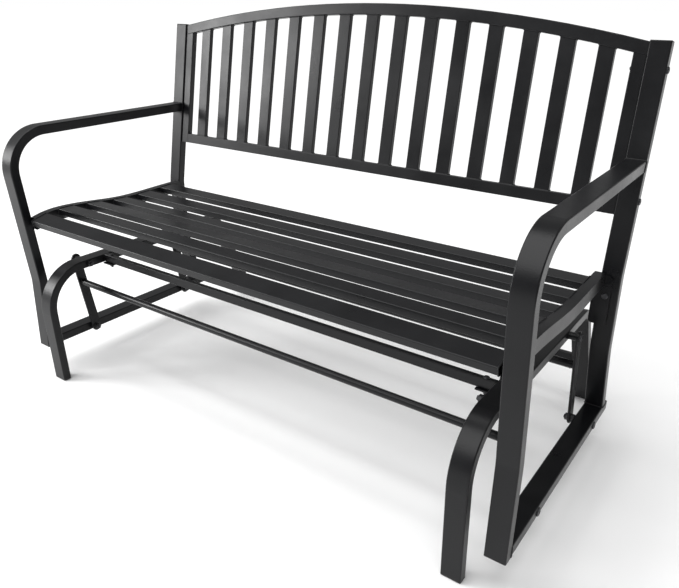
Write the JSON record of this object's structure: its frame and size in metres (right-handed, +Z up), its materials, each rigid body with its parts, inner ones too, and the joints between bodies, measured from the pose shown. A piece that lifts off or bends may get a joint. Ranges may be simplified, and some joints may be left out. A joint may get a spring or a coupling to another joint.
{
  "type": "glider bench",
  "caption": "Slatted steel porch glider bench with an arched back, arms and a seat that swings fore and aft on four flat hangers over a bent-tube base.",
  "frame": {"origin": "on the floor, in the middle of the bench's outline", "axes": "+X along the bench to the right as seen from the front, +Y from the front to the back, +Z up"},
  "size_m": [1.276, 0.7408, 0.8962],
  "materials": {
    "black_powder_coat": "satin",
    "black_plastic": "matte",
    "nylon": "matte",
    "black_hardware": "satin"
  },
  "bodies": {
    "base": {"base_feet": "black_plastic", "cross_tube_bolts": "black_hardware", "cross_tube_tabs": "black_powder_coat", "front_cross_tube": "black_powder_coat", "left_base_frame": "black_powder_coat", "rear_cross_tube": "black_powder_coat", "right_base_frame": "black_powder_coat", "upper_pivot_bolts": "black_hardware", "upper_pivot_nuts": "black_hardware", "upper_pivot_spacers": "black_powder_coat"},
    "front_hanger": {"front_hanger_bushings": "nylon", "front_left_hanger": "black_powder_coat", "front_right_hanger": "black_powder_coat", "front_tie_rod": "black_powder_coat"},
    "rear_hanger": {"rear_hanger_bushings": "nylon", "rear_left_hanger": "black_powder_coat", "rear_right_hanger": "black_powder_coat", "rear_tie_rod": "black_powder_coat"},
    "seat": {"back_bolts": "black_hardware", "back_bottom_rail": "black_powder_coat", "back_slat_01": "black_powder_coat", "back_slat_02": "black_powder_coat", "back_slat_03": "black_powder_coat", "back_slat_04": "black_powder_coat", "back_slat_05": "black_powder_coat", "back_slat_06": "black_powder_coat", "back_slat_07": "black_powder_coat", "back_slat_08": "black_powder_coat", "back_slat_09": "black_powder_coat", "back_slat_10": "black_powder_coat", "back_slat_11": "black_powder_coat", "back_slat_12": "black_powder_coat", "back_slat_13": "black_powder_coat", "back_slat_14": "black_powder_coat", "back_slat_15": "black_powder_coat", "back_top_rail": "black_powder_coat", "left_arm_tube": "black_powder_coat", "left_back_post": "black_powder_coat", "left_back_stile": "black_powder_coat", "left_bottom_rail": "black_powder_coat", "left_rear_leg": "black_powder_coat", "left_seat_rail": "black_powder_coat", "lower_pivot_bolts": "black_hardware", "lower_pivot_nuts": "black_hardware", "lower_pivot_washers": "black_hardware", "right_arm_tube": "black_powder_coat", "right_back_post": "black_powder_coat", "right_back_stile": "black_powder_coat", "right_bottom_rail": "black_powder_coat", "right_rear_leg": "black_powder_coat", "right_seat_rail": "black_powder_coat", "seat_bolts": "black_hardware", "seat_brackets": "black_powder_coat", "seat_slat_1": "black_powder_coat", "seat_slat_2": "black_powder_coat", "seat_slat_3": "black_powder_coat", "seat_slat_4": "black_powder_coat", "seat_slat_5": "black_powder_coat", "seat_slat_6": "black_powder_coat", "tube_caps": "black_plastic"}
  },
  "joints": [
    {"name": "glide", "type": "hinge", "parent": "base", "child": "front_hanger", "pos_m": [0, -0.242, 0.286], "axis": [1, 0, 0], "range_deg": [-25, 6]},
    {"name": "rear_hanger_pivot", "type": "hinge", "parent": "base", "child": "rear_hanger", "pos_m": [0, 0.082, 0.286], "axis": [1, 0, 0], "range_deg": [-25.5, 6.5]},
    {"name": "seat_pivot", "type": "hinge", "parent": "front_hanger", "child": "seat", "pos_m": [0, -0.207, 0.082], "axis": [1, 0, 0], "range_deg": [-6.5, 25.5]}
  ],
  "couplings": [
    {"joint": "rear_hanger_pivot", "follows": "glide", "ratio": 1},
    {"joint": "seat_pivot", "follows": "glide", "ratio": -1}
  ]
}
